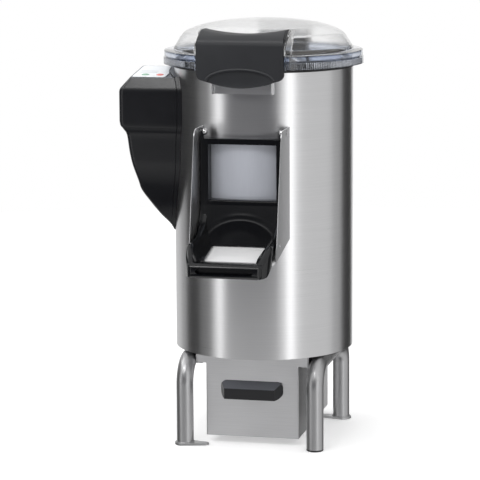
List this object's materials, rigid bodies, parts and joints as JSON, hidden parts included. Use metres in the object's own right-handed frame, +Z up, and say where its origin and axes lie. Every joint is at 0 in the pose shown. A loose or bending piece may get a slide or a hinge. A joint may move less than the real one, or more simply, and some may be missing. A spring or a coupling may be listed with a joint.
{
  "type": "electric potato peeler",
  "caption": "Floor-standing electric potato peeler: steel drum on bent tube legs, clear hinged lid, side control box, discharge door over a chute and a filter drawer below.",
  "frame": {"origin": "centre of the footprint on the floor, midway between the outermost points of the whole machine at rest", "axes": "+Z up along the drum's axis, -Y towards the front with the discharge door and drawer handle, +X to the machine's right as seen from the front; the drum's axis stands at x = 0.0405, y = 0.072"},
  "size_m": [0.528, 0.64, 0.943],
  "materials": {
    "brushed_stainless": "satin brushed stainless sheet and tube",
    "bright_steel": "bright machined or polished stainless steel",
    "black_abs": "fine-grained black moulded plastic",
    "black_rubber": "matt black rubber",
    "clear_polycarbonate": "clear moulded polycarbonate with a faint blue cast",
    "corundum_lining": "sheet coated with dark abrasive grit",
    "abrasive_aluminium": "cast aluminium coated with dark abrasive grit",
    "cast_aluminium": "sand-cast aluminium, lightly machined",
    "motor_paint": "dark blue-grey enamel on a finned casting",
    "panel_foil": "pale satin panel plate",
    "green_plastic": "glossy green moulded cap",
    "red_plastic": "glossy red moulded cap",
    "brass": "plain machined brass",
    "circuit_board": "green laminate with solder resist"
  },
  "bodies": {
    "machine": {"outer_casing": "brushed_stainless", "rim_gasket": "black_rubber", "bottom_plate": "brushed_stainless", "chamber_floor": "cast_aluminium", "abrasive_lining": "corundum_lining", "waste_spout": "bright_steel", "bearing_housing": "cast_aluminium", "upper_bearing": "bright_steel", "lower_bearing": "bright_steel", "shaft_seal": "black_rubber", "left_leg_tube": "brushed_stainless", "right_leg_tube": "brushed_stainless", "front_foot_plate": "brushed_stainless", "rear_foot_plate": "brushed_stainless", "front_leg_cap": "black_rubber", "rear_leg_cap": "black_rubber", "left_drawer_rail": "brushed_stainless", "right_drawer_rail": "brushed_stainless", "motor_body": "motor_paint", "motor_bracket": "brushed_stainless", "drive_belt": "black_rubber", "discharge_chute": "brushed_stainless", "left_pivot_bolt": "bright_steel", "right_pivot_bolt": "bright_steel", "left_pivot_nut": "bright_steel", "right_pivot_nut": "bright_steel", "door_sensor": "black_abs", "lid_hinge_bracket": "brushed_stainless", "lid_hinge_pin": "bright_steel", "lid_catch_bracket": "brushed_stainless", "lid_safety_switch": "black_abs", "control_saddle": "black_abs", "control_housing": "black_abs", "control_panel": "panel_foil", "contact_blocks": "black_abs", "control_board": "circuit_board", "water_valve": "brass", "spray_nozzle": "bright_steel", "cable_gland": "black_abs"},
    "lid": {"lid_dome": "clear_polycarbonate", "lid_handle": "black_abs", "lid_hinge_block": "black_abs"},
    "door": {"door_moulding": "black_abs", "door_panel": "brushed_stainless"},
    "drawer": {"drawer_box": "brushed_stainless", "drawer_outlet": "bright_steel", "drawer_strainer": "brushed_stainless", "drawer_pull": "black_abs"},
    "drive": {"drive_shaft": "bright_steel", "driven_pulley": "cast_aluminium", "abrasive_plate": "abrasive_aluminium", "plate_knob": "bright_steel", "plate_scrapers": "bright_steel"},
    "motor_rotor": {"motor_pulley": "bright_steel"},
    "start_button": {"start_button": "green_plastic"},
    "stop_button": {"stop_button": "red_plastic"}
  },
  "joints": [
    {"name": "lid_hinge", "type": "hinge", "parent": "machine", "child": "lid", "pos_m": [0.0405, 0.308, 0.905], "axis": [-1, 0, 0], "range_deg": [0, 95]},
    {"name": "door_pivot", "type": "hinge", "parent": "machine", "child": "door", "pos_m": [0.0405, -0.135, 0.711], "axis": [-1, 0, 0], "range_deg": [0, 80]},
    {"name": "drawer_slide", "type": "slide", "parent": "machine", "child": "drawer", "axis": [0, -1, 0], "range_m": [0, 0.3]},
    {"name": "plate_spin", "type": "hinge", "parent": "machine", "child": "drive", "pos_m": [0.0405, 0.072, 0.5], "axis": [0, 0, 1], "continuous": true},
    {"name": "motor_spin", "type": "hinge", "parent": "machine", "child": "motor_rotor", "pos_m": [0.1185, 0.17, 0.228], "axis": [0, 0, 1], "continuous": true},
    {"name": "start_press", "type": "slide", "parent": "machine", "child": "start_button", "axis": [0, 0.1444, -0.9895], "range_m": [0, 0.002], "stiffness_N_per_m": 400, "springref_m": -0.002},
    {"name": "stop_press", "type": "slide", "parent": "machine", "child": "stop_button", "axis": [0, 0.1444, -0.9895], "range_m": [0, 0.002], "stiffness_N_per_m": 400, "springref_m": -0.002}
  ],
  "couplings": [
    {"joint": "motor_spin", "follows": "plate_spin", "ratio": 3.9474}
  ]
}
